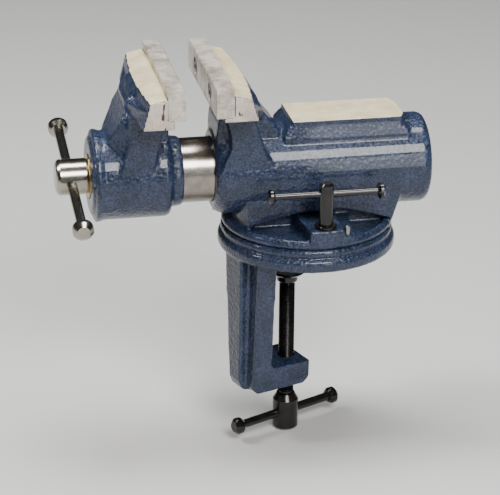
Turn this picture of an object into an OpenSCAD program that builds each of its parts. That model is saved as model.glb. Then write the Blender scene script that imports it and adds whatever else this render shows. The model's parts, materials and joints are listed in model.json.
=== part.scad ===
// Clamp-on bench vise with a round slide, a swivel body, an anvil and a table clamp.
// X runs along the slide, from the spindle (-X) to the anvil (+X). Z is up.
// The origin is on the swivel axis, in the plane where the base rests on the bench.

/* [Jaws] */
// Width of both jaws
jaw_w = 80; // [60:1:100]
// Gap between the jaw faces
jaw_open = 14.4; // [2:0.2:40]
// Height of a jaw plate
plate_h = 14.2; // [11:0.2:18]
// Thickness of a jaw plate
plate_t = 8.2; // [6:0.2:10]
// Top of the jaw plates above the slide axis
plate_rise = 53.2; // [50:0.5:64]
// Distance from the swivel axis to the fixed jaw face
jaw_reach = 51.5; // [48:0.5:62]
// Depth of a jaw behind its plate, at the middle of its width
jaw_depth = 10.8; // [9:0.2:14]
// Radius that the back of each jaw is bowed to
jaw_bow = 310; // [200:10:600]
// Radius of the thread of a jaw plate screw
plate_screw_r = 2.5; // [2:0.1:3]

/* [Slide] */
// Height of the slide axis above the bench
axis_h = 40.5; // [39:0.5:46]
// Outer radius of the slide tube
tube_r = 15.65; // [14.5:0.05:16.5]
// Wall of the slide tube
tube_wall = 4.65; // [3.4:0.05:5]
// Radius of the body barrel
barrel_r = 21.9; // [21.4:0.1:24]
// Radius of the moving jaw's barrel
moving_r = 21.5; // [21.2:0.1:24]
// Distance from the swivel axis to the rear end of the barrel
rear_x = 57.7; // [52:0.5:72]
// Distance that the barrel's front end stands behind the fixed jaw face
front_set = 3.7; // [1:0.1:6]
// Length of the moving jaw's casting along the slide
moving_l = 44.2; // [42:0.5:56]
// Most that the jaws open
open_max = 60; // [50:1:66]

/* [Spindle] */
// Major radius of the spindle thread
spindle_r = 6; // [5:0.1:6.4]
// Radius of the spindle head
head_r = 8.7; // [8:0.1:10]
// Length of the spindle head outside the nose
head_l = 15.3; // [12:0.5:22]
// Radius of the spindle bar
bar_r = 2.4; // [2:0.1:3]
// Half the length of the spindle bar, to the middle of its end knobs
bar_half = 49.5; // [35:0.5:60]
// Angle of the spindle bar above the horizontal
bar_tilt = 9; // [0:1:90]

/* [Anvil] */
// Length of the anvil
anvil_l = 53.4; // [40:0.2:54]
// Width of the anvil
anvil_w = 28.2; // [20:0.2:34]
// Top of the anvil above the slide axis
anvil_rise = 26.1; // [24:0.1:32]

/* [Swivel base] */
// Outer radius of the base ring
base_r = 43.4; // [42.4:0.1:50]
// Thickness of the base ring
base_t = 11.1; // [11:0.1:14]
// Turn of the clamp away from the slide axis
clamp_turn = 20; // [0:1:360]
// Half the thickness of the pedestal under the barrel
pedestal_half = 19; // [17.5:0.1:20]
// Radius of the circle that the swivel lock screw stands on
lock_circle = 34.55; // [34.3:0.05:35]
// Radius of the shank of the lock screw
lock_shank_r = 3; // [2.5:0.1:3.1]
// Radius of the post of the lock screw
lock_post_r = 3.5; // [3.3:0.1:4.5]
// Half the length of the lock bar, to the middle of its end knobs
lock_bar_half = 26.6; // [18:0.2:32]
// Radius of the lock bar
lock_bar_r = 1.65; // [1.2:0.05:2]

/* [Table clamp] */
// Opening between the bench face and the clamp arm
throat_h = 59.4; // [45:0.2:80]
// Distance from the swivel axis to the inner side of the leg
throat_x = 26.2; // [24:0.2:30]
// Thickness of the leg
leg_t = 10.2; // [8:0.2:12]
// Thickness of the clamp arm
arm_t = 12.4; // [9:0.2:16]
// Distance from the swivel axis to the clamp screw
screw_x = 10.3; // [8:0.1:12]
// Major radius of the clamp screw thread
screw_r = 4; // [3.4:0.1:4.4]
// Thickness of the bench that the clamp is set for
bench_t = 13.1; // [6:0.1:40]
// Length of the clamp screw from the top of the clamp arm down to its hub
screw_l = 24.2; // [9.5:0.1:40]
// Half the length of the clamp bar, to the middle of its end knobs
clamp_bar_half = 29.6; // [20:0.2:36]
// Radius of the clamp bar
clamp_bar_r = 2.2; // [1.8:0.1:2.6]

/* [Clearances] */
// Radial gap of a shaft that turns or slides in its bore
running = 0.05; // [0.02:0.01:0.1]
// Gap between the moving jaw's neck and the body when the jaws are shut
shut_gap = 0.4; // [0.2:0.1:1]
// Radial gap around a screw that passes through a piece
pass = 0.3; // [0.2:0.05:0.5]

/* [Hidden] */
$fn = 96;

// Colours
paint = [0.23, 0.30, 0.42];
steel = [0.70, 0.70, 0.69];
dark_steel = [0.33, 0.32, 0.30];
black_oxide = [0.09, 0.09, 0.10];
brass = [0.72, 0.58, 0.30];

// Heights
plate_top = axis_h + plate_rise;
plate_bottom = plate_top - plate_h;
jaw_top = plate_top - 3.1;
jaw_fall = 2.4;
jaw_flare = 3.5;
fixed_bottom = plate_bottom - 2.3;
fixed_ledge = 4.7;
moving_bottom = plate_bottom - 4.2;
moving_ledge = 3.1;
low = axis_h + 4;
plate_screw_z = plate_bottom + plate_h * 0.44;
plate_screw_ys = [-jaw_w / 4, jaw_w / 4];
plate_screw_sink = 0.6;
anvil_left = rear_x - 68.1;

// Places along the slide
fixed_face = -jaw_reach;
fixed_back = fixed_face + plate_t;
moving_face = fixed_face - jaw_open;
moving_back = moving_face - plate_t;
body_front = fixed_face + front_set;
neck_end = body_front - jaw_open - shut_gap;
neck_l = 6;
moving_end = neck_end - neck_l;
nose_x = neck_end - moving_l;
travel_open = open_max - jaw_open;

// Bore of the slide
tube_inner_r = tube_r - tube_wall;
tube_fit_r = tube_r + running;
rear_wall = 8.7;
rear_wall_x = rear_x - rear_wall;
tube_rear = rear_wall_x - jaw_open - 1;
nose_wall = 8.1;
washer_t = 1.4;
washer_floor = nose_x + 1;
nose_inner = washer_floor + nose_wall;
collar_l = 7;
tube_front = nose_inner + collar_l + 1;
washer_r = 10.4;
collar_r = tube_inner_r - 0.6;

// Spindle nut
nut_flange_t = 3.6;
nut_recess = 5.2;
nut_r = tube_inner_r - 1.6;
nut_flange_r = 14.5;
nut_front = -20;
nut_face = rear_x - nut_recess;
nut_screw_circle = 12;
nut_screw_r = 1.4;
nut_screw_l = 8;
nut_screw_turns = [90, 210, 330];
nut_screw_head_r = 2.3;
nut_screw_head_t = 1.4;

// Guide screw that keeps the slide from turning
guide_x = body_front + 3.6;
guide_r = 2.5;
guide_tip_r = 2;
guide_tip_z = axis_h - tube_inner_r - 1;
slot_spare = 2.7;

// Knob of a sliding bar, as shares of its radius and its thickness
knob_face = 0.62;
knob_neck = 0.72;
knob_edge = 0.2;
pin_share = 0.7;
pin_depth = 0.6;

// Spindle
spindle_end = nut_front + travel_open + 16;
shank_r = spindle_r + 0.5;
head_face = washer_floor - washer_t;
head_x = head_face - head_l;
bar_x = head_x + head_l * 0.46;
knob_r = 5;
knob_t = 6.4;
collar_pin_r = 1.5;
collar_x = nose_inner + collar_l / 2;
tube_pin_r = 2;
tube_pin_x = tube_front + 9;

// Swivel base
seam = 1.1;
plate_floor = base_t + 1.9;
rim_top = base_t + 4.5;
rim_r = base_r - 1.8;
rim_inner = rim_r - 4;
spigot_r = 11;
spigot_l = 3.4;
spigot_gap = 0.2;
bolt_r = 4;
bolt_gap = 0.6;
bolt_head_r = 7.6;
bolt_head_t = 2.4;
bolt_depth = 20;
pivot_washer_t = 1.2;
pivot_recess = 3.8;
pivot_recess_r = 9.6;
boss_top = base_t + 9.2;
lock_x = 2;
lock_y = -sqrt(lock_circle * lock_circle - lock_x * lock_x);
boss_step = boss_top - 2.8;
lock_washer_t = 1.6;
lock_washer_r = 5.3;
lock_bar_z = boss_top + 16.9;
lock_top = lock_bar_z + 5.6;
lock_knob_r = 4;
lock_knob_t = 3.2;
slot_half = lock_shank_r + 0.3;
nut_half = 4.9;
slot_floor = 2.6;
slot_gap = 0.2;
entry_in = 1.8;
entry_spare = 1.9;
slot_lip = base_t - 3.6;
tnut_gap = 0.1;
tnut_t = 4;
tnut_l = 8.8;
pin_x = lock_x + 9.8;
pin_y = lock_y - 3.1;
pin_r = 1.4;
pin_top = boss_top + 1.6;

// Table clamp
leg_out = throat_x + leg_t;
arm_bottom = -throat_h - arm_t;
leg_half_top = 16.5;
leg_half_bottom = 11.5;
rib_out = 5;
rib_half_top = 7.4;
rib_half_bottom = 5.2;
arm_tip = screw_x - screw_r - 2.3;
screw_tip_z = -bench_t - 2;
screw_tip_r = 3;
screw_tip_l = 4.6;
hub_top = -throat_h - screw_l;
hub_r = 6.4;
hub_cone = 3.4;
hub_l = 15.7;
clamp_bar_z = hub_top - 7.4;
clamp_bar_turn = 6;
thread_pitch = 1.25;
thread_depth = 0.55;
pad_r = 9;
pad_t = 3.6;
pad_l = 6.4;
clamp_knob_r = 4.2;
clamp_knob_t = 5.4;

// ---------------------------------------------------------------- helpers

// Turned solid around the slide axis, from points [x, radius]
module turned(points) {
    translate([0, 0, axis_h])
        rotate([0, 90, 0])
            rotate_extrude()
                polygon([for (p = points) [p[1], p[0]]]);
}

// Round bar around the slide axis
module rod(x0, x1, r) {
    translate([x0, 0, axis_h])
        rotate([0, 90, 0])
            cylinder(h = x1 - x0, r = r);
}

// Side view, points [x, z], given a thickness from y0 to y1
module side_plate(points, y0, y1) {
    translate([0, y1, 0])
        rotate([90, 0, 0])
            linear_extrude(y1 - y0)
                polygon(points);
}

// End view, points [y, z], given a length from x0 to x1
module end_plate(points, x0, x1) {
    translate([x0, 0, 0])
        rotate([90, 0, 90])
            linear_extrude(x1 - x0)
                polygon(points);
}

// Upright round bar
module post(x, y, z0, z1, r) {
    translate([x, y, z0])
        cylinder(h = z1 - z0, r = r);
}

// Turned solid around an upright axis, from points [radius, z]
module turned_post(x, y, points) {
    translate([x, y, 0])
        rotate_extrude()
            polygon(points);
}

// Sliding bar along +X through the origin, with its own knob at the -X end
module sliding_bar(half, r, kr, kt) {
    shoulder = half - kt / 2;
    rotate([0, 90, 0])
        rotate_extrude()
            polygon([
                [0, -half - kt / 2],
                [kr * knob_face, -half - kt / 2],
                [kr, -half - kt * knob_edge],
                [kr, -half + kt * knob_edge],
                [kr * knob_neck, -shoulder],
                [r, -shoulder],
                [r, shoulder],
                [r * pin_share, shoulder],
                [r * pin_share, shoulder + kt * pin_depth],
                [0, shoulder + kt * pin_depth]
            ]);
}

// Knob pressed on the +X end of that bar
module bar_cap(half, r, kr, kt) {
    shoulder = half - kt / 2;
    rotate([0, 90, 0])
        rotate_extrude()
            polygon([
                [r * pin_share, shoulder],
                [kr * knob_neck, shoulder],
                [kr, half - kt * knob_edge],
                [kr, half + kt * knob_edge],
                [kr * knob_face, half + kt / 2],
                [0, half + kt / 2],
                [0, shoulder + kt * pin_depth],
                [r * pin_share, shoulder + kt * pin_depth]
            ]);
}

module at_spindle_bar() {
    translate([bar_x, 0, axis_h])
        rotate([bar_tilt, 0, 0])
            rotate([0, 0, 90])
                children();
}

module at_lock_bar() {
    translate([lock_x, lock_y, lock_bar_z])
        children();
}

module at_clamp() {
    rotate([0, 0, clamp_turn])
        children();
}

module at_clamp_bar() {
    at_clamp()
        translate([-screw_x, 0, clamp_bar_z])
            rotate([0, 0, clamp_bar_turn])
                children();
}

// Jaw behind its plate, bowed in plan; side is 1 for the fixed jaw and -1 for the moving one
module jaw_block(back, side, bottom, ledge) {
    deepest = jaw_depth + jaw_flare + 1;
    intersection() {
        translate([back - side * jaw_bow, 0, 0])
            rotate_extrude($fn = 720)
                polygon([
                    [jaw_bow - jaw_depth, bottom],
                    [jaw_bow - jaw_depth, jaw_top + jaw_fall],
                    [jaw_bow + jaw_depth, jaw_top - jaw_fall],
                    [jaw_bow + jaw_depth + jaw_flare, bottom]
                ]);
        translate([side > 0 ? back : back - deepest, -jaw_w / 2, bottom])
            cube([deepest, jaw_w, jaw_top + 1 - bottom]);
    }
    side_plate([
        [back - side * ledge, bottom],
        [back - side * ledge, plate_bottom],
        [back + side * jaw_depth / 2, plate_bottom],
        [back + side * jaw_depth / 2, bottom]
    ], -jaw_w / 2, jaw_w / 2);
}

// Sloping fan that joins a jaw to its narrower web
module jaw_fan(back, side, bottom, reach, half, low_z, high_z) {
    skin = 1.5;
    wing = jaw_depth - 2 * skin;
    shoulder = reach - 2.8;
    hull() {
        translate([side > 0 ? back + skin : back - skin - wing, -jaw_w / 2, bottom + skin])
            cube([wing, jaw_w, jaw_top - jaw_fall - 4 - bottom - skin]);
        translate([side > 0 ? back : back - reach, -half, low_z])
            cube([reach, half * 2, high_z - low_z]);
        translate([side > 0 ? back : back - shoulder, -half * 2, low_z + 2])
            cube([shoulder, half * 4, high_z - low_z - 2]);
    }
}

// Two countersunk screws, or the holes for them, along X from a jaw face
module plate_screw_set(face, side, grow) {
    reach = plate_t + jaw_depth / 2;
    head = plate_screw_r * 1.9;
    for (y = plate_screw_ys)
        translate([face, y, plate_screw_z])
            rotate([0, side * 90, 0]) {
                cylinder(h = reach, r = plate_screw_r);
                translate([0, 0, plate_screw_sink - grow])
                    cylinder(h = plate_screw_sink + grow, r = head);
                translate([0, 0, plate_screw_sink * 2])
                    cylinder(h = head - plate_screw_r, r1 = head, r2 = plate_screw_r);
            }
}

// ---------------------------------------------------------------- base

module base_ring() {
    rotate_extrude()
        polygon([
            [0, 0],
            [base_r - 0.9, 0],
            [base_r, 1.2],
            [base_r, 4.8],
            [base_r - 1, 6.2],
            [base_r - 2.2, 6.5],
            [base_r - 2.2, 7.2],
            [base_r - 1.4, 7.8],
            [base_r - 1.4, base_t - seam],
            [base_r - 2.8, base_t],
            [0, base_t]
        ]);
}

module clamp_leg() {
    bevel = 3;
    intersection() {
        side_plate([
            [-leg_out, 3],
            [-leg_out, arm_bottom + bevel],
            [-leg_out + bevel, arm_bottom],
            [-arm_tip - bevel, arm_bottom],
            [-arm_tip, arm_bottom + bevel],
            [-arm_tip, -throat_h],
            [-throat_x + 2, -throat_h],
            [-throat_x, -throat_h + 2],
            [-throat_x, 3]
        ], -base_r, base_r);
        end_plate([
            [-leg_half_top, 3],
            [-leg_half_top, 0],
            [-leg_half_bottom, arm_bottom],
            [leg_half_bottom, arm_bottom],
            [leg_half_top, 0],
            [leg_half_top, 3]
        ], -base_r, 0);
    }
    intersection() {
        side_plate([
            [-leg_out - rib_out, 3],
            [-leg_out - rib_out * 0.8, arm_bottom + 6],
            [-leg_out - rib_out * 0.4, arm_bottom + 1.4],
            [-leg_out + bevel, arm_bottom],
            [-leg_out + bevel, 3]
        ], -base_r, base_r);
        end_plate([
            [-rib_half_top, 3],
            [-rib_half_bottom, arm_bottom],
            [rib_half_bottom, arm_bottom],
            [rib_half_top, 3]
        ], -base_r, 0);
    }
}

module base_casting() {
    color(paint)
        difference() {
            union() {
                base_ring();
                at_clamp() clamp_leg();
            }
            // seat of the swivel spigot, and the recess and hole of the pivot bolt
            post(0, 0, base_t - spigot_l - spigot_gap, base_t + 1, spigot_r + running);
            post(0, 0, -1, base_t, bolt_r + bolt_gap);
            post(0, 0, -1, pivot_recess, pivot_recess_r);
            // ring slot of the swivel lock
            difference() {
                post(0, 0, slot_floor, slot_lip, lock_circle + nut_half + slot_gap);
                post(0, 0, 0, base_t, lock_circle - nut_half - slot_gap);
            }
            difference() {
                post(0, 0, slot_lip - 1, base_t + 1, lock_circle + slot_half);
                post(0, 0, 0, base_t + 2, lock_circle - slot_half);
            }
            // hole that the T-nut goes in through
            at_clamp()
                post(lock_circle - entry_in, 0, -1, slot_lip - 0.5, nut_half + entry_spare);
            at_clamp()
                post(-screw_x, 0, arm_bottom - 1, -throat_h + 1, screw_r + running);
        }
}

// ---------------------------------------------------------------- swivel body

module body_barrel() {
    turned([
        [body_front, 0],
        [body_front, barrel_r - 3.4],
        [body_front + 1.2, barrel_r - 1.6],
        [body_front + 3, barrel_r - 0.5],
        [body_front + 4.8, barrel_r],
        [rear_x - 3, barrel_r],
        [rear_x - 1, barrel_r - 0.8],
        [rear_x, barrel_r - 2.6],
        [rear_x, 0]
    ]);
}

module fixed_riser() {
    back = fixed_back;
    barrel_top = axis_h + barrel_r;
    panel_half = barrel_r - 0.9;
    web_half = 13;
    rib_half = 12.5;
    // wide side panels
    side_plate([
        [back - 2.7, low],
        [back - 1.2, barrel_top - 12.4],
        [back + 2.5, barrel_top - 5.4],
        [back + 2.1, fixed_bottom - 13],
        [back + 0.1, fixed_bottom - 6],
        [back - 1.2, fixed_bottom],
        [back + 12.4, fixed_bottom],
        [back + 13.7, fixed_bottom - 7],
        [back + 16.1, fixed_bottom - 15],
        [back + 18.9, barrel_top - 8.4],
        [back + 22.3, barrel_top - 14.4],
        [back + 25, low]
    ], -panel_half, panel_half);
    // narrow web at the front
    side_plate([
        [body_front + 1, low],
        [body_front + 1, barrel_top - 1.4],
        [body_front + 1.6, barrel_top + 4.6],
        [back - 1.2, fixed_bottom - 5],
        [back - 2.6, fixed_bottom],
        [back + 4, fixed_bottom],
        [back + 4, low]
    ], -web_half, web_half);
    // back rib that runs down to the barrel
    side_plate([
        [back + 2, low],
        [back + 2, jaw_top - 4],
        [back + jaw_depth - 1, jaw_top - jaw_fall - 0.6],
        [back + 15.5, fixed_bottom + 3.3],
        [back + 19, fixed_bottom - 4.9],
        [back + 23, fixed_bottom - 9.7],
        [back + 27, barrel_top + 0.2],
        [back + 27, low]
    ], -rib_half, rib_half);
    jaw_fan(back, 1, fixed_bottom, 19.5, 9, fixed_bottom - 9, fixed_bottom - 4.5);
}

module anvil_block() {
    left = anvil_left;
    right = left + anvil_l;
    half = anvil_w / 2;
    translate([0, 0, low])
        linear_extrude(axis_h + anvil_rise - low)
            polygon([
                [left, -half],
                [right, -half],
                [right + 1.9, -half + 5],
                [right + 2.5, 0],
                [right + 1.9, half - 5],
                [right, half],
                [left, half]
            ]);
    // flared foot
    intersection() {
        side_plate([
            [left - 4, low],
            [left - 4, axis_h + anvil_rise - 6.5],
            [left - 1.2, axis_h + anvil_rise - 2.5],
            [right, axis_h + anvil_rise - 2.5],
            [right + 4, axis_h + anvil_rise - 6.5],
            [right + 4, low]
        ], -half - 2, half + 2);
        end_plate([
            [-half - 1.5, low],
            [-half - 1.5, axis_h + anvil_rise - 8.5],
            [-half, axis_h + anvil_rise - 2.5],
            [half, axis_h + anvil_rise - 2.5],
            [half + 1.5, axis_h + anvil_rise - 8.5],
            [half + 1.5, low]
        ], left - 5, right + 5);
    }
}

module pedestal() {
    pocket = 6.5;
    difference() {
        intersection() {
            union() {
                intersection() {
                    post(3.5, 0, base_t, axis_h - 4, rim_r - 1.1);
                    post(0, 0, base_t, axis_h, rim_r + 0.3);
                }
                // flare up to the rear of the barrel
                intersection() {
                    translate([0, 0, rim_top - 0.5])
                        cylinder(h = axis_h - 4 - rim_top, r1 = rim_r + 1, r2 = rim_r + 7);
                    translate([0, -pedestal_half, 0])
                        cube([rear_x - 4, pedestal_half * 2, axis_h - 4]);
                }
            }
            translate([-base_r, -pedestal_half, 0])
                cube([base_r + rear_x, pedestal_half * 2, axis_h]);
        }
        // arched pockets under both side walls
        for (y = [-pedestal_half - 1, pedestal_half - pocket])
            side_plate([
                [-30.9, plate_floor],
                [-30.9, plate_floor + 3.6],
                [-8.7, plate_floor + 8.6],
                [13.7, plate_floor + 9.6],
                [37, plate_floor + 3.6],
                [37, plate_floor]
            ], y, y + pocket + 1);
    }
}

module swivel_plate() {
    rotate_extrude()
        polygon([
            [0, base_t],
            [rim_r - 1.2, base_t],
            [rim_r, base_t + seam],
            [rim_r + 0.1, base_t + 2.4],
            [rim_r - 0.9, rim_top - 0.5],
            [rim_r - 2.4, rim_top],
            [rim_inner + 0.6, rim_top - 0.5],
            [rim_inner, plate_floor],
            [0, plate_floor]
        ]);
    post(0, 0, base_t - spigot_l, base_t + 1, spigot_r);
    // boss of the swivel lock, with a lower step for the stop pin
    intersection() {
        post(0, 0, base_t + 1, boss_top, rim_r - 0.2);
        union() {
            linear_extrude(boss_top)
                polygon([
                    [lock_x - 8.2, -base_r],
                    [lock_x - 11.5, -pedestal_half + 7],
                    [lock_x + 8.2, -pedestal_half + 7],
                    [lock_x + 8.2, -base_r]
                ]);
            linear_extrude(boss_step)
                polygon([
                    [lock_x, -base_r],
                    [lock_x, -pedestal_half + 7],
                    [lock_x + 15.5, -pedestal_half + 7],
                    [lock_x + 13, -base_r]
                ]);
        }
    }
}

module vise_body() {
    color(paint)
        difference() {
            union() {
                body_barrel();
                fixed_riser();
                jaw_block(fixed_back, 1, fixed_bottom, fixed_ledge);
                anvil_block();
                pedestal();
                swivel_plate();
            }
            rod(body_front - 1, rear_wall_x, tube_fit_r);
            rod(rear_wall_x - 1, rear_x + 1, nut_r);
            rod(nut_face, rear_x + 1, nut_flange_r + pass);
            for (turn = nut_screw_turns)
                translate([nut_face - nut_screw_l + nut_flange_t, 0, axis_h])
                    rotate([turn, 0, 0])
                        translate([0, 0, nut_screw_circle])
                            rotate([0, 90, 0])
                                cylinder(h = nut_screw_l, r = nut_screw_r);
            plate_screw_set(fixed_face, 1, 1);
            post(guide_x, 0, 0, axis_h - tube_r + 1, guide_r);
            post(lock_x, lock_y, 0, boss_top + 1, lock_shank_r + pass);
            post(pin_x, pin_y, plate_floor, boss_top + 1, pin_r);
            post(0, 0, 0, bolt_depth, bolt_r);
        }
}

module pivot_bolt() {
    top = pivot_recess - pivot_washer_t;
    socket_r = 2.9;
    socket_l = 1.6;
    color(dark_steel)
        difference() {
            rotate_extrude()
                polygon([
                    [0, top - bolt_head_t],
                    [bolt_head_r - 0.5, top - bolt_head_t],
                    [bolt_head_r, top - bolt_head_t + 0.5],
                    [bolt_head_r, top],
                    [bolt_r, top],
                    [bolt_r, bolt_depth - 1],
                    [bolt_r - 0.8, bolt_depth],
                    [0, bolt_depth]
                ]);
            translate([0, 0, top - bolt_head_t - 1])
                cylinder(h = socket_l + 1, r = socket_r, $fn = 6);
        }
}

module pivot_washer() {
    color(steel)
        difference() {
            post(0, 0, pivot_recess - pivot_washer_t, pivot_recess, pivot_recess_r - 0.4);
            post(0, 0, 0, base_t, bolt_r + 0.2);
        }
}

module jaw_plate(face, side) {
    depth = side * plate_t;
    bevel = 0.5;
    difference() {
        side_plate([
            [face, plate_bottom],
            [face, plate_top - bevel],
            [face + side * bevel, plate_top],
            [face + depth, plate_top],
            [face + depth, plate_bottom]
        ], -jaw_w / 2, jaw_w / 2);
        plate_screw_set(face, side, 1);
    }
}

module fixed_jaw_plate() {
    color(steel) jaw_plate(fixed_face, 1);
}

module plate_screws(face, side) {
    difference() {
        plate_screw_set(face, side, 0);
        for (y = plate_screw_ys)
            translate([face, y, plate_screw_z])
                rotate([0, side * 90, 0])
                    cylinder(h = 3, r = plate_screw_r * pin_share, $fn = 6);
    }
}

module fixed_plate_screws() {
    color(dark_steel) plate_screws(fixed_face, 1);
}

module spindle_nut() {
    color(brass)
        difference() {
            union() {
                rod(nut_front, nut_face + 1, nut_r);
                rod(nut_face, nut_face + nut_flange_t, nut_flange_r);
            }
            rod(nut_front - 1, rear_x, spindle_r + running);
            for (turn = nut_screw_turns)
                translate([nut_face - 1, 0, axis_h])
                    rotate([turn, 0, 0])
                        translate([0, 0, nut_screw_circle])
                            rotate([0, 90, 0])
                                cylinder(h = nut_screw_l, r = nut_screw_r);
        }
}

module nut_screws() {
    top = nut_face + nut_flange_t;
    color(dark_steel)
        for (turn = nut_screw_turns)
            translate([0, 0, axis_h])
                rotate([turn, 0, 0])
                    translate([top - nut_screw_l, 0, nut_screw_circle])
                        rotate([0, 90, 0])
                            difference() {
                                union() {
                                    cylinder(h = nut_screw_l, r = nut_screw_r);
                                    translate([0, 0, nut_screw_l])
                                        cylinder(h = nut_screw_head_t, r = nut_screw_head_r);
                                }
                                translate([-nut_screw_head_r - 1, -0.3, nut_screw_l + nut_screw_head_t / 2])
                                    cube([nut_screw_head_r * 2 + 2, 0.6, nut_screw_head_t]);
                            }
}

module guide_screw() {
    seat = axis_h - tube_r - 0.5;
    color(dark_steel)
        difference() {
            union() {
                post(guide_x, 0, axis_h - barrel_r + 0.8, seat, guide_r);
                post(guide_x, 0, seat - 1, guide_tip_z, guide_tip_r);
            }
            translate([guide_x, 0, axis_h - barrel_r - 0.2])
                cylinder(h = 2.4, r = 1.4, $fn = 6);
        }
}

module stop_pin() {
    color(dark_steel)
        turned_post(pin_x, pin_y, [
            [0, plate_floor],
            [pin_r, plate_floor],
            [pin_r, pin_top - 0.6],
            [pin_r - 0.6, pin_top],
            [0, pin_top]
        ]);
}

module lock_tnut() {
    top = slot_lip - tnut_gap;
    color(dark_steel)
        difference() {
            intersection() {
                difference() {
                    post(0, 0, top - tnut_t, top, lock_circle + nut_half);
                    post(0, 0, 0, base_t, lock_circle - nut_half);
                }
                translate([lock_x - tnut_l / 2, lock_y - nut_half * 2, 0])
                    cube([tnut_l, nut_half * 4, base_t]);
            }
            post(lock_x, lock_y, 0, base_t, lock_shank_r + running);
        }
}

// ---------------------------------------------------------------- moving jaw

module moving_barrel() {
    turned([
        [nose_x, 0],
        [nose_x, moving_r - 4],
        [nose_x + 0.6, moving_r - 2.6],
        [nose_x + 1.4, moving_r - 1.9],
        [nose_x + 1.7, moving_r - 0.2],
        [nose_x + 2.4, moving_r + 0.8],
        [nose_x + 3.8, moving_r + 0.8],
        [nose_x + 5.6, moving_r],
        [moving_end - 2.5, moving_r],
        [moving_end - 0.8, moving_r - 0.8],
        [moving_end, moving_r - 2.5],
        [moving_end, tube_r + 1.7],
        [neck_end - 0.8, tube_r + 1],
        [neck_end, tube_r + 0.4],
        [neck_end, 0]
    ]);
}

module moving_arm() {
    back = moving_back;
    barrel_top = axis_h + moving_r;
    panel_half = moving_r - 0.9;
    web_half = 11;
    arm_half = 19.4;
    arm_tip_half = 11.6;
    // side panels under the jaw
    side_plate([
        [back - 20.4, low],
        [back - 14.9, moving_bottom - 8.4],
        [back - 15.9, moving_bottom],
        [back - 13.4, moving_bottom + 1],
        [back + 2.4, moving_bottom + 1],
        [back + 1.6, moving_bottom - 4],
        [back - 5.4, low]
    ], -panel_half, panel_half);
    // narrow web in front of the panels
    side_plate([
        [back - 8, low],
        [back - 8, moving_bottom + 1],
        [back + 1, moving_bottom + 1],
        [moving_end - 0.8, moving_bottom - 5],
        [moving_end - 0.8, low]
    ], -web_half, web_half);
    // sloping back of the arm, wider towards the jaw
    intersection() {
        side_plate([
            [back - 24.9, low],
            [back - 24.9, barrel_top - 2],
            [back - 23.6, barrel_top + 0.8],
            [back - 20.6, barrel_top + 6.5],
            [back - 18.2, moving_bottom - 1.3],
            [back - 15.7, moving_bottom + 5.2],
            [back - 12.6, jaw_top - jaw_fall - 1.6],
            [back - 9.6, jaw_top - jaw_fall - 0.4],
            [back - 2, jaw_top - 4],
            [back - 2, low]
        ], -moving_r, moving_r);
        translate([0, 0, low])
            linear_extrude(jaw_top - low)
                polygon([
                    [back - 24.5, -arm_tip_half],
                    [back - 15, -arm_half],
                    [back, -arm_half],
                    [back, arm_half],
                    [back - 15, arm_half],
                    [back - 24.5, arm_tip_half]
                ]);
        end_plate([
            [-arm_half, low],
            [-arm_half, barrel_top + 6],
            [-arm_tip_half, moving_bottom + 6.5],
            [-arm_tip_half, jaw_top],
            [arm_tip_half, jaw_top],
            [arm_tip_half, moving_bottom + 6.5],
            [arm_half, barrel_top + 6],
            [arm_half, low]
        ], back - 25, back);
    }
    jaw_fan(back, -1, moving_bottom + 2.5, 16.3, 10, moving_bottom - 1, moving_bottom + 5.5);
}

// Raised oval pad low on the near side of the barrel
module casting_pad() {
    from_nose = 7.2;
    down_turn = 24;
    proud = 0.5;
    half_l = 4.2;
    half_w = 4.4;
    corner_r = 4.8;
    deep = 3;
    translate([nose_x + from_nose, 0, axis_h])
        rotate([down_turn, 0, 0])
            translate([0, -moving_r - proud, 0])
                rotate([-90, 0, 0])
                    intersection() {
                        cylinder(h = deep, r = corner_r);
                        translate([-half_l, -half_w, 0])
                            cube([half_l * 2, half_w * 2, deep]);
                    }
}

module moving_jaw() {
    color(paint)
        difference() {
            union() {
                moving_barrel();
                moving_arm();
                casting_pad();
                jaw_block(moving_back, -1, moving_bottom, moving_ledge);
            }
            rod(nose_x - 1, washer_floor, washer_r + 0.4);
            rod(nose_x, neck_end, shank_r + running);
            rod(nose_inner, tube_front + 1, tube_inner_r);
            rod(tube_front, neck_end + 1, tube_r);
            plate_screw_set(moving_face, -1, 1);
            post(tube_pin_x, 0, 0, axis_h - tube_r + 1, tube_pin_r);
            post(collar_x, 0, 0, axis_h - tube_inner_r + 1, collar_pin_r + 0.7);
        }
}

module slide_tube() {
    slot_front = guide_x - jaw_open - guide_tip_r - slot_spare;
    slot_rear = guide_x + travel_open + guide_tip_r + slot_spare;
    groove_half = guide_tip_r + running;
    color(steel)
        difference() {
            turned([
                [tube_front, tube_inner_r],
                [tube_front, tube_r],
                [tube_rear - 0.8, tube_r],
                [tube_rear, tube_r - 0.8],
                [tube_rear, tube_inner_r]
            ]);
            translate([slot_front, -groove_half, axis_h - tube_r - 1])
                cube([slot_rear - slot_front, groove_half * 2, tube_wall + 2]);
            post(tube_pin_x, 0, 0, axis_h - tube_inner_r + 1, tube_pin_r);
        }
}

module moving_jaw_plate() {
    color(steel) jaw_plate(moving_face, -1);
}

module moving_plate_screws() {
    color(dark_steel) plate_screws(moving_face, -1);
}

module tube_pin() {
    color(dark_steel)
        post(tube_pin_x, 0, axis_h - moving_r + 1, axis_h - tube_inner_r - 0.6, tube_pin_r);
}

module thrust_washer() {
    color(brass)
        difference() {
            rod(head_face, washer_floor, washer_r);
            rod(head_face - 1, washer_floor + 1, shank_r + running);
        }
}

// ---------------------------------------------------------------- spindle

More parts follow.
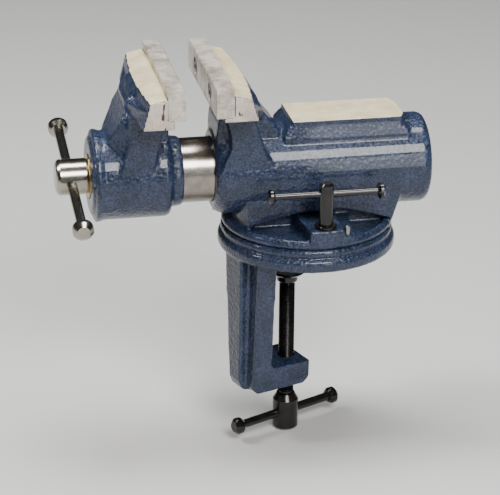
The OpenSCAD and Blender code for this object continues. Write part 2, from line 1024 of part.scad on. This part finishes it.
module spindle() {
    color(dark_steel)
        difference() {
            turned([
                [head_x, 0],
                [head_x, head_r - 2],
                [head_x + 0.6, head_r - 0.7],
                [head_x + 1.8, head_r],
                [head_face - 1, head_r],
                [head_face, head_r - 0.6],
                [head_face, shank_r],
                [nose_inner + collar_l, shank_r],
                [nose_inner + collar_l + 1.5, spindle_r],
                [spindle_end - 1.5, spindle_r],
                [spindle_end, spindle_r - 1.2],
                [spindle_end, 0]
            ]);
            at_spindle_bar()
                rotate([0, 90, 0])
                    translate([0, 0, -head_r - 1])
                        cylinder(h = head_r * 2 + 2, r = bar_r + running);
            translate([collar_x, 0, axis_h - collar_r])
                cylinder(h = collar_r * 2, r = collar_pin_r);
        }
}

module spindle_collar() {
    color(steel)
        difference() {
            rod(nose_inner, nose_inner + collar_l, collar_r);
            rod(nose_inner - 1, nose_inner + collar_l + 1, shank_r);
            translate([collar_x, 0, axis_h - collar_r - 1])
                cylinder(h = collar_r * 2 + 2, r = collar_pin_r);
        }
}

module collar_pin() {
    color(dark_steel)
        translate([collar_x, 0, axis_h - collar_r + 0.5])
            cylinder(h = collar_r * 2 - 1, r = collar_pin_r);
}

module spindle_bar() {
    color(dark_steel)
        at_spindle_bar()
            sliding_bar(bar_half, bar_r, knob_r, knob_t);
}

module spindle_bar_cap() {
    color(dark_steel)
        at_spindle_bar()
            bar_cap(bar_half, bar_r, knob_r, knob_t);
}

// ---------------------------------------------------------------- swivel lock

module lock_screw() {
    seat_z = boss_top + lock_washer_t;
    color(black_oxide)
        difference() {
            turned_post(lock_x, lock_y, [
                [0, slot_floor + 0.6],
                [lock_shank_r - 0.6, slot_floor + 0.6],
                [lock_shank_r, slot_floor + 1.2],
                [lock_shank_r, seat_z],
                [lock_post_r, seat_z],
                [lock_post_r, lock_top - 1],
                [lock_post_r - 1, lock_top],
                [0, lock_top]
            ]);
            at_lock_bar()
                rotate([0, 90, 0])
                    translate([0, 0, -lock_post_r - 1])
                        cylinder(h = lock_post_r * 2 + 2, r = lock_bar_r + running);
        }
}

module lock_washer() {
    color(black_oxide)
        difference() {
            turned_post(lock_x, lock_y, [
                [0, boss_top],
                [lock_washer_r, boss_top],
                [lock_washer_r, boss_top + lock_washer_t - 0.5],
                [lock_washer_r - 0.5, boss_top + lock_washer_t],
                [0, boss_top + lock_washer_t]
            ]);
            post(lock_x, lock_y, 0, lock_top, lock_shank_r);
        }
}

module lock_bar() {
    color(black_oxide)
        at_lock_bar()
            sliding_bar(lock_bar_half, lock_bar_r, lock_knob_r, lock_knob_t);
}

module lock_bar_cap() {
    color(black_oxide)
        at_lock_bar()
            bar_cap(lock_bar_half, lock_bar_r, lock_knob_r, lock_knob_t);
}

// ---------------------------------------------------------------- table clamp

module clamp_screw() {
    thread_top = screw_tip_z - screw_tip_l - 1;
    turns = floor((thread_top - hub_top - hub_cone) / thread_pitch);
    color(black_oxide)
        at_clamp()
            difference() {
                turned_post(-screw_x, 0, concat(
                    [[0, hub_top - hub_l],
                     [hub_r - 0.8, hub_top - hub_l],
                     [hub_r, hub_top - hub_l + 0.8],
                     [hub_r, hub_top],
                     [screw_r + 0.6, hub_top + hub_cone - 0.4],
                     [screw_r - thread_depth, hub_top + hub_cone - 0.4]],
                    [for (i = [0 : turns - 1], k = [0, 1])
                        [screw_r - (k == 0 ? thread_depth : 0),
                         thread_top - (turns - i - k * 0.5) * thread_pitch]],
                    [[screw_r - thread_depth, thread_top],
                     [screw_tip_r, thread_top + 1],
                     [screw_tip_r, screw_tip_z - 0.8],
                     [screw_tip_r - 0.8, screw_tip_z],
                     [0, screw_tip_z]]
                ));
                translate([-screw_x, 0, clamp_bar_z])
                    rotate([0, 0, clamp_bar_turn])
                        rotate([0, 90, 0])
                            translate([0, 0, -hub_r - 1])
                                cylinder(h = hub_r * 2 + 2, r = clamp_bar_r + running);
            }
}

module clamp_bar() {
    color(black_oxide)
        at_clamp_bar()
            sliding_bar(clamp_bar_half, clamp_bar_r, clamp_knob_r, clamp_knob_t);
}

module clamp_bar_cap() {
    color(black_oxide)
        at_clamp_bar()
            bar_cap(clamp_bar_half, clamp_bar_r, clamp_knob_r, clamp_knob_t);
}

module clamp_pad() {
    neck_r = screw_tip_r + 2.2;
    color(dark_steel)
        at_clamp()
            difference() {
                turned_post(-screw_x, 0, [
                    [0, -bench_t - pad_l],
                    [neck_r - 0.6, -bench_t - pad_l],
                    [neck_r, -bench_t - pad_l + 0.6],
                    [neck_r, -bench_t - pad_t],
                    [pad_r - 1, -bench_t - pad_t + 1.6],
                    [pad_r, -bench_t - 1],
                    [pad_r - 0.5, -bench_t],
                    [0, -bench_t]
                ]);
                post(-screw_x, 0, -bench_t - pad_l - 1, screw_tip_z, screw_tip_r + running);
            }
}

// ---------------------------------------------------------------- nodes

base_casting();
vise_body();
pivot_bolt();
pivot_washer();
fixed_jaw_plate();
fixed_plate_screws();
spindle_nut();
nut_screws();
guide_screw();
stop_pin();
lock_tnut();
moving_jaw();
slide_tube();
moving_jaw_plate();
moving_plate_screws();
tube_pin();
thrust_washer();
spindle();
spindle_collar();
collar_pin();
spindle_bar();
spindle_bar_cap();
lock_screw();
lock_washer();
lock_bar();
lock_bar_cap();
clamp_screw();
clamp_bar();
clamp_bar_cap();
clamp_pad();
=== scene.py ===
"""Table-clamp bench vise: cast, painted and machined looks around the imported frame."""
import json
import math

import bmesh
import bpy
import numpy as np
from mathutils import Euler, Matrix, Vector


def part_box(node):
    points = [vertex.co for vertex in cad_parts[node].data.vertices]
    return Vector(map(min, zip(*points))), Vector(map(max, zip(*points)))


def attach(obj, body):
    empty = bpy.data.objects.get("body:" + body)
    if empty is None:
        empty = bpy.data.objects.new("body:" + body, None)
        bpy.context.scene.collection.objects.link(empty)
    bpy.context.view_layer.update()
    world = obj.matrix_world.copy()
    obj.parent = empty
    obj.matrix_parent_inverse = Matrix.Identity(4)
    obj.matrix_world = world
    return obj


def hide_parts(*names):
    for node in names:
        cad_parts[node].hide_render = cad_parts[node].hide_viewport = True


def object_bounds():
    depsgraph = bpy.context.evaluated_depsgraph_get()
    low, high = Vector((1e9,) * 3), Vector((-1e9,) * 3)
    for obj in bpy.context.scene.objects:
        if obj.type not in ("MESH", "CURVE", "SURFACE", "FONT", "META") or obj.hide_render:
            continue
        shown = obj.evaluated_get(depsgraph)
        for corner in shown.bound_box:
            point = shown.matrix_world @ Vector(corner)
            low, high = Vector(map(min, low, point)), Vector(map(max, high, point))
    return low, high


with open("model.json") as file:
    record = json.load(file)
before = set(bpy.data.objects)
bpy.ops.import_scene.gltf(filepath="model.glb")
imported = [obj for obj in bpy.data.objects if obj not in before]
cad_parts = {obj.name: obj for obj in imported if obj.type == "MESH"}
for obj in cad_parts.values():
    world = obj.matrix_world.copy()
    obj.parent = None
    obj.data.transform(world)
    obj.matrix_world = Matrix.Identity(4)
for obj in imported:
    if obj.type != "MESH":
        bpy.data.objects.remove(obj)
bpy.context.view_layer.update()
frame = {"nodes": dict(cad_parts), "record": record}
nodes = frame["nodes"]
MM = 0.001
scene = bpy.context.scene


# ---------------------------------------------------------------- camera, light and floor

# the camera that was solved from the photo; turns are in degrees
CAMERA_AT = Vector((-228.8, -1022.6, 430.5)) * MM
CAMERA_TURN = 11.12
CAMERA_DOWN = 22.55
CAMERA_ROLL = 0.464
LENS = 165.7

FLOOR_SIZE = 6
FLOOR_GAP = 0.2 * MM


def make_camera():
    data = bpy.data.cameras.new("camera")
    data.lens = LENS
    data.sensor_width = 36
    data.sensor_fit = "HORIZONTAL"
    data.clip_start = 0.05
    camera = bpy.data.objects.new("camera", data)
    scene.collection.objects.link(camera)
    aim = Euler((math.radians(90 - CAMERA_DOWN), 0, -math.radians(CAMERA_TURN))).to_matrix()
    roll = Matrix.Rotation(math.radians(CAMERA_ROLL), 3, "Z")
    camera.matrix_world = Matrix.Translation(CAMERA_AT) @ (aim @ roll).to_4x4()
    scene.camera = camera


def area_light(name, place, target, size, watts, tint=(1, 1, 1)):
    data = bpy.data.lights.new(name, "AREA")
    data.shape = "RECTANGLE"
    data.size, data.size_y = size
    data.energy = watts
    data.color = tint
    light = bpy.data.objects.new(name, data)
    scene.collection.objects.link(light)
    light.location = place
    light.rotation_euler = (Vector(target) - Vector(place)).to_track_quat("-Z", "Y").to_euler()


def make_studio():
    middle = (0, 0, 0.02)
    area_light("key", (0.12, -0.85, 0.74), middle, (0.5, 0.4), 17, (1, 0.98, 0.96))
    area_light("top", (0.05, 0.1, 1.1), middle, (0.7, 0.3), 15, (0.98, 0.99, 1))
    area_light("rim", (-0.72, 0.08, 0.88), (-0.09, 0, 0.06), (0.3, 0.4), 13, (1, 0.99, 0.97))
    area_light("front", (0.35, -1.2, 0.25), middle, (0.2, 0.7), 3, (0.94, 0.97, 1))
    world = bpy.data.worlds.new("studio")
    world.use_nodes = True
    world.node_tree.nodes["Background"].inputs["Color"].default_value = (0.6, 0.64, 0.7, 1)
    world.node_tree.nodes["Background"].inputs["Strength"].default_value = 0.07
    scene.world = world


def make_floor():
    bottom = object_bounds()[0][2]
    bpy.ops.mesh.primitive_plane_add(size=FLOOR_SIZE, location=(0, 0, bottom - FLOOR_GAP))
    floor = bpy.context.object
    floor.name = "studio_floor"
    paper = bpy.data.materials.new("studio_paper")
    paper.use_nodes = True
    shader = paper.node_tree.nodes["Principled BSDF"]
    shader.inputs["Base Color"].default_value = (0.5, 0.5, 0.49, 1)
    shader.inputs["Roughness"].default_value = 0.75
    floor.data.materials.append(paper)


# ---------------------------------------------------------------- materials

class Shader:
    """A node material, built up in the object's own coordinates."""

    def __init__(self, name, roughness, metallic=0.0, coat=0.0, coat_roughness=0.1, specular=0.5):
        self.material = bpy.data.materials.new(name)
        self.material.use_nodes = True
        self.tree = self.material.node_tree
        self.surface = self.tree.nodes["Principled BSDF"]
        self.surface.inputs["Roughness"].default_value = roughness
        self.surface.inputs["Metallic"].default_value = metallic
        self.surface.inputs["Coat Weight"].default_value = coat
        self.surface.inputs["Coat Roughness"].default_value = coat_roughness
        self.surface.inputs["Specular IOR Level"].default_value = specular
        self.place = self.tree.nodes.new("ShaderNodeTexCoord").outputs["Object"]
        self.last_bump = None

    def link(self, a, b):
        self.tree.links.new(a, b)

    def stretched(self, stretch):
        """Object coordinates scaled along each axis."""
        mapping = self.tree.nodes.new("ShaderNodeMapping")
        mapping.inputs["Scale"].default_value = stretch
        self.link(self.place, mapping.inputs["Vector"])
        return mapping.outputs["Vector"]

    def noise(self, size_mm, detail=2.0, roughness=0.5, stretch=(1, 1, 1)):
        node = self.tree.nodes.new("ShaderNodeTexNoise")
        node.inputs["Scale"].default_value = 1 / (size_mm * MM)
        node.inputs["Detail"].default_value = detail
        node.inputs["Roughness"].default_value = roughness
        self.link(self.stretched(stretch), node.inputs["Vector"])
        return node.outputs["Fac"]

    def cells(self, size_mm):
        """Rounded cells, as in a hammered enamel."""
        node = self.tree.nodes.new("ShaderNodeTexVoronoi")
        node.feature = "SMOOTH_F1"
        node.inputs["Scale"].default_value = 1 / (size_mm * MM)
        node.inputs["Smoothness"].default_value = 0.6
        self.link(self.place, node.inputs["Vector"])
        return node.outputs["Distance"]

    def ramp(self, value, stops):
        node = self.tree.nodes.new("ShaderNodeValToRGB")
        elements = node.color_ramp.elements
        while len(elements) < len(stops):
            elements.new(0.5)
        for element, (position, colour) in zip(elements, stops):
            element.position = position
            element.color = (*colour, 1)
        self.link(value, node.inputs["Fac"])
        return node.outputs["Color"]

    def blend(self, kind, factor, a, b):
        node = self.tree.nodes.new("ShaderNodeMix")
        node.data_type = "RGBA"
        node.blend_type = kind
        sockets = {"factor": node.inputs[0], "a": node.inputs[6], "b": node.inputs[7]}
        for name, value in (("factor", factor), ("a", a), ("b", b)):
            if hasattr(value, "links"):
                self.link(value, sockets[name])
            else:
                sockets[name].default_value = value if name == "factor" else (*value, 1)
        return node.outputs[2]

    def bump(self, value, height_mm, strength=1.0):
        node = self.tree.nodes.new("ShaderNodeBump")
        node.inputs["Strength"].default_value = strength
        node.inputs["Distance"].default_value = height_mm * MM
        self.link(value, node.inputs["Height"])
        if self.last_bump:
            self.link(self.last_bump, node.inputs["Normal"])
        self.last_bump = node.outputs["Normal"]
        self.link(self.last_bump, self.surface.inputs["Normal"])

    def colour(self, value):
        self.link(value, self.surface.inputs["Base Color"])

    def gloss(self, value, low, high):
        """Roughness that varies between two values."""
        node = self.tree.nodes.new("ShaderNodeMapRange")
        node.inputs["To Min"].default_value = low
        node.inputs["To Max"].default_value = high
        self.link(value, node.inputs["Value"])
        self.link(node.outputs["Result"], self.surface.inputs["Roughness"])


def enamel():
    """Glossy hammered slate-blue enamel over rough cast iron."""
    s = Shader("hammered_enamel", 0.32, metallic=0.0, coat=0.4, coat_roughness=0.06, specular=0.22)
    base = s.ramp(s.noise(9, 4, 0.6), [(0.3, (0.007, 0.014, 0.027)), (0.7, (0.018, 0.026, 0.052))])
    fleck = s.ramp(s.noise(0.8, 3, 0.7), [(0.4, (0.5, 0.54, 0.58)), (0.66, (2.6, 2.4, 2.5))])
    s.colour(s.blend("MULTIPLY", 1.0, base, fleck))
    s.gloss(s.noise(2.5, 2), 0.2, 0.42)
    s.bump(s.noise(6, 3, 0.6), 0.5, 0.6)
    s.bump(s.cells(1.9), 0.6, 0.95)
    s.bump(s.noise(0.9, 3, 0.65), 0.22, 0.85)
    return s.material


def machined(name, light, dark, stretch, metallic=0.35, roughness=0.42, pitted=False):
    """A milled or ground iron or steel face with fine tool lines and darker stains."""
    s = Shader(name, roughness, metallic=metallic)
    stain = s.ramp(s.noise(11, 5, 0.65), [(0.36, dark), (0.6, light)])
    line = s.ramp(s.noise(1.1, 3, 0.6, stretch),
                  [(0.3, (0.84, 0.84, 0.84)), (0.7, (1.06, 1.06, 1.06))])
    tone = s.blend("MULTIPLY", 1.0, stain, line)
    if pitted:
        pit = s.ramp(s.noise(4.5, 1, 0.4, (1.8, 1, 0.8)),
                     [(0.66, (1, 1, 1)), (0.7, (0.10, 0.08, 0.07))])
        tone = s.blend("MULTIPLY", 1.0, tone, pit)
    s.colour(tone)
    s.gloss(s.noise(4, 3), roughness - 0.1, roughness + 0.16)
    s.bump(s.noise(0.9, 2, 0.5, stretch), 0.02, 0.6)
    return s.material


def turned_steel(name, light, dark, roughness, stretch=(14, 1, 1), rings_mm=1.4):
    """Turned and polished metal with fine rings round its axis."""
    s = Shader(name, roughness, metallic=1.0)
    tone = s.ramp(s.noise(7, 4, 0.6), [(0.3, dark), (0.7, light)])
    ring = s.ramp(s.noise(rings_mm, 3, 0.6, stretch),
                  [(0.3, (0.8, 0.8, 0.8)), (0.7, (1.08, 1.08, 1.08))])
    s.colour(s.blend("MULTIPLY", 1.0, tone, ring))
    s.gloss(s.noise(rings_mm, 2, 0.5, stretch), roughness - 0.08, roughness + 0.1)
    s.bump(s.noise(rings_mm, 2, 0.5, stretch), 0.008, 0.5)
    return s.material


def black_oxide():
    """Oiled black oxide over smooth steel, a little brown where it is handled."""
    s = Shader("black_oxide", 0.22, metallic=0.3, coat=0.35, coat_roughness=0.08, specular=0.35)
    s.colour(s.ramp(s.noise(5, 4, 0.6), [(0.35, (0.004, 0.004, 0.005)), (0.8, (0.020, 0.016, 0.014))]))
    s.gloss(s.noise(2.2, 3), 0.14, 0.28)
    s.bump(s.noise(0.7, 3, 0.6), 0.03, 0.5)
    return s.material


def make_finishes():
    return {
        "paint": enamel(),
        "cream": machined("machined_top", (0.70, 0.62, 0.40), (0.54, 0.47, 0.30), (1, 6, 1), 0.2),
        # the ends get a darker, pinker copy of the machined top colour: painted shade on faces turned
        # away from the top light
        "end": machined("machined_end_painted_shade", (0.56, 0.48, 0.42), (0.34, 0.28, 0.24), (3, 1, 1), 0.2,
                        pitted=True),
        "jaw_steel": machined("ground_plate", (0.60, 0.54, 0.48), (0.26, 0.23, 0.18), (1, 5, 1),
                              0.4, 0.4),
        "bright_steel": turned_steel("polished_tube", (0.34, 0.31, 0.27), (0.2, 0.18, 0.16), 0.2),
        "dark_steel": turned_steel("dark_steel", (0.42, 0.39, 0.33), (0.26, 0.24, 0.21), 0.2,
                                   (6, 1, 1)),
        "screw_steel": turned_steel("screw_steel", (0.36, 0.35, 0.34), (0.2, 0.2, 0.2), 0.32,
                                    (1, 1, 1), 0.9),
        "black_oxide": black_oxide(),
        "brass": turned_steel("bronze", (0.66, 0.50, 0.24), (0.46, 0.33, 0.15), 0.3),
    }


# ---------------------------------------------------------------- castings

VOXEL = 0.7 * MM
MERGE = 0.002 * MM

# smoothing: each pass pulls the points in, then pushes them back out
SMOOTH_PASSES = 7
SHRINK, GROW = 0.55, -0.53
MACHINED_FREEDOM = 0.25

# kinds of surface, which are also the material slots of a casting
SKIN, TOP, END = 0, 1, 2
# the end slot holds the darker copy of the machined top colour, which is painted shade
CASTING_FINISHES = ("paint", "cream", "end")
FACING = 0.75

# how far from a machined face a point or a face centre still counts as on it
POINT_TOUCH = 0.9 * MM
FACE_TOUCH = 0.45 * MM
TOP_TOUCH = 1.6

# machined jaw tops: below the top of the plate, and falling away behind it
JAW_BELOW_PLATE = 3.1 * MM
JAW_SLOPE = 2.4 / 10.8
JAW_REACH = 12.5 * MM
END_BELOW_PLATE = 5 * MM
ANVIL_TOP = next(m["pos_m"][2] for m in frame["record"]["mounts"] if m["name"] == "anvil_face")
ANVIL_FRONT = -12 * MM


def remeshed(node, voxel):
    """A copy of a CAD node's solid as one even mesh."""
    mesh = nodes[node].data.copy()
    solid = bpy.data.objects.new(node + "_solid", mesh)
    scene.collection.objects.link(solid)
    joined = bmesh.new()
    joined.from_mesh(mesh)
    bmesh.ops.remove_doubles(joined, verts=joined.verts, dist=MERGE)
    joined.to_mesh(mesh)
    joined.free()
    modifier = solid.modifiers.new("even", "REMESH")
    modifier.mode = "VOXEL"
    modifier.voxel_size = voxel
    bpy.context.view_layer.update()
    graph = bpy.context.evaluated_depsgraph_get()
    even = bpy.data.meshes.new_from_object(solid.evaluated_get(graph))
    bpy.data.objects.remove(solid)
    even.name = node + "_mesh"
    return even


def smooth(mesh, freedom, passes, box):
    """Rounds a mesh without shrinking it, and keeps it inside box.
    freedom, from 0 to 1, says how far each point may move."""
    count = len(mesh.vertices)
    points = np.empty(count * 3)
    mesh.vertices.foreach_get("co", points)
    points = points.reshape(-1, 3)
    ends = np.empty(len(mesh.edges) * 2, int)
    mesh.edges.foreach_get("vertices", ends)
    a, b = ends.reshape(-1, 2).T
    degree = np.bincount(np.concatenate((a, b)), minlength=count).clip(1)
    for step in range(passes * 2):
        share = SHRINK if step % 2 == 0 else GROW
        mean = np.stack([
            np.bincount(a, points[b, k], count) + np.bincount(b, points[a, k], count)
            for k in range(3)
        ], axis=1) / degree[:, None]
        points = points + (mean - points) * (share * freedom)[:, None]
    points = points.clip(*box)
    mesh.vertices.foreach_set("co", points.ravel())
    mesh.update()


def positions(mesh):
    points = np.empty(len(mesh.vertices) * 3)
    mesh.vertices.foreach_get("co", points)
    return points.reshape(-1, 3)


def face_data(mesh):
    """The centre and the normal of every face."""
    centres = np.empty(len(mesh.polygons) * 3)
    normals = np.empty(len(mesh.polygons) * 3)
    mesh.polygons.foreach_get("center", centres)
    mesh.polygons.foreach_get("normal", normals)
    return centres.reshape(-1, 3), normals.reshape(-1, 3)


def cast_piece(node, body, finishes, bare):
    """A cast piece: soft cast edges, but crisp where it is machined.
    bare(points, touch) gives SKIN, TOP or END for each point."""
    mesh = remeshed(node, VOXEL)
    machined_points = bare(positions(mesh), POINT_TOUCH) != SKIN
    smooth(mesh, np.where(machined_points, MACHINED_FREEDOM, 1.0), SMOOTH_PASSES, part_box(node))
    mesh.materials.clear()
    for finish in CASTING_FINISHES:
        mesh.materials.append(finishes[finish])
    centres, normals = face_data(mesh)
    kind = bare(centres, FACE_TOUCH)
    is_top = (kind == TOP) & (normals[:, 2] > FACING)
    # faces turned sideways take the end finish, whose darker tone is painted shade
    is_end = (kind == END) & (np.abs(normals[:, 1]) > FACING)
    index = np.where(is_top, TOP, np.where(is_end, END, SKIN))
    mesh.polygons.foreach_set("material_index", index.astype(np.int32))
    mesh.polygons.foreach_set("use_smooth", np.ones(len(mesh.polygons), bool))
    mesh.update()
    piece = bpy.data.objects.new(node + "_casting", mesh)
    scene.collection.objects.link(piece)
    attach(piece, body)
    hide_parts(node)
    return piece


def jaw_bare(points, plate, touch):
    """Which points are on the machined top and ends of the jaw behind a plate."""
    low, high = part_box(plate)
    depth = np.minimum(np.abs(points[:, 0] - low.x), np.abs(points[:, 0] - high.x))
    level = high.z - JAW_BELOW_PLATE - JAW_SLOPE * depth
    top = (np.abs(points[:, 2] - level) < touch * TOP_TOUCH) & (depth < JAW_REACH)
    end = np.abs(np.abs(points[:, 1]) - high.y) < touch
    end &= points[:, 2] > low.z - END_BELOW_PLATE
    return np.where(end, END, np.where(top, TOP, SKIN))


def body_bare(points, touch):
    """The fixed jaw's machined faces and the top of the anvil."""
    kind = jaw_bare(points, "fixed_jaw_plate", touch)
    anvil = (np.abs(points[:, 2] - ANVIL_TOP) < touch) & (points[:, 0] > ANVIL_FRONT)
    return np.where(anvil, TOP, kind)


def moving_bare(points, touch):
    return jaw_bare(points, "moving_jaw_plate", touch)


def base_bare(points, touch):
    """The base has cast skin all over."""
    return np.full(len(points), SKIN)


def make_castings(finishes):
    cast_piece("vise_body", "swivel_body", finishes, body_bare)
    cast_piece("moving_jaw", "moving_jaw_body", finishes, moving_bare)
    cast_piece("base_casting", "clamp_base", finishes, base_bare)


# ---------------------------------------------------------------- other pieces

def finish_nodes(finishes):
    """Every other CAD node keeps its shape and gets its finish."""
    slots = {s["node"]: s["material_slot"] for s in frame["record"]["subparts"]}
    for name, piece in nodes.items():
        piece.data.materials.clear()
        piece.data.materials.append(finishes[slots[name]])
        piece.data.polygons.foreach_set("use_smooth", np.ones(len(piece.data.polygons), bool))


# ---------------------------------------------------------------- scene

finishes = make_finishes()
make_camera()
make_studio()
finish_nodes(finishes)
make_castings(finishes)
make_floor()
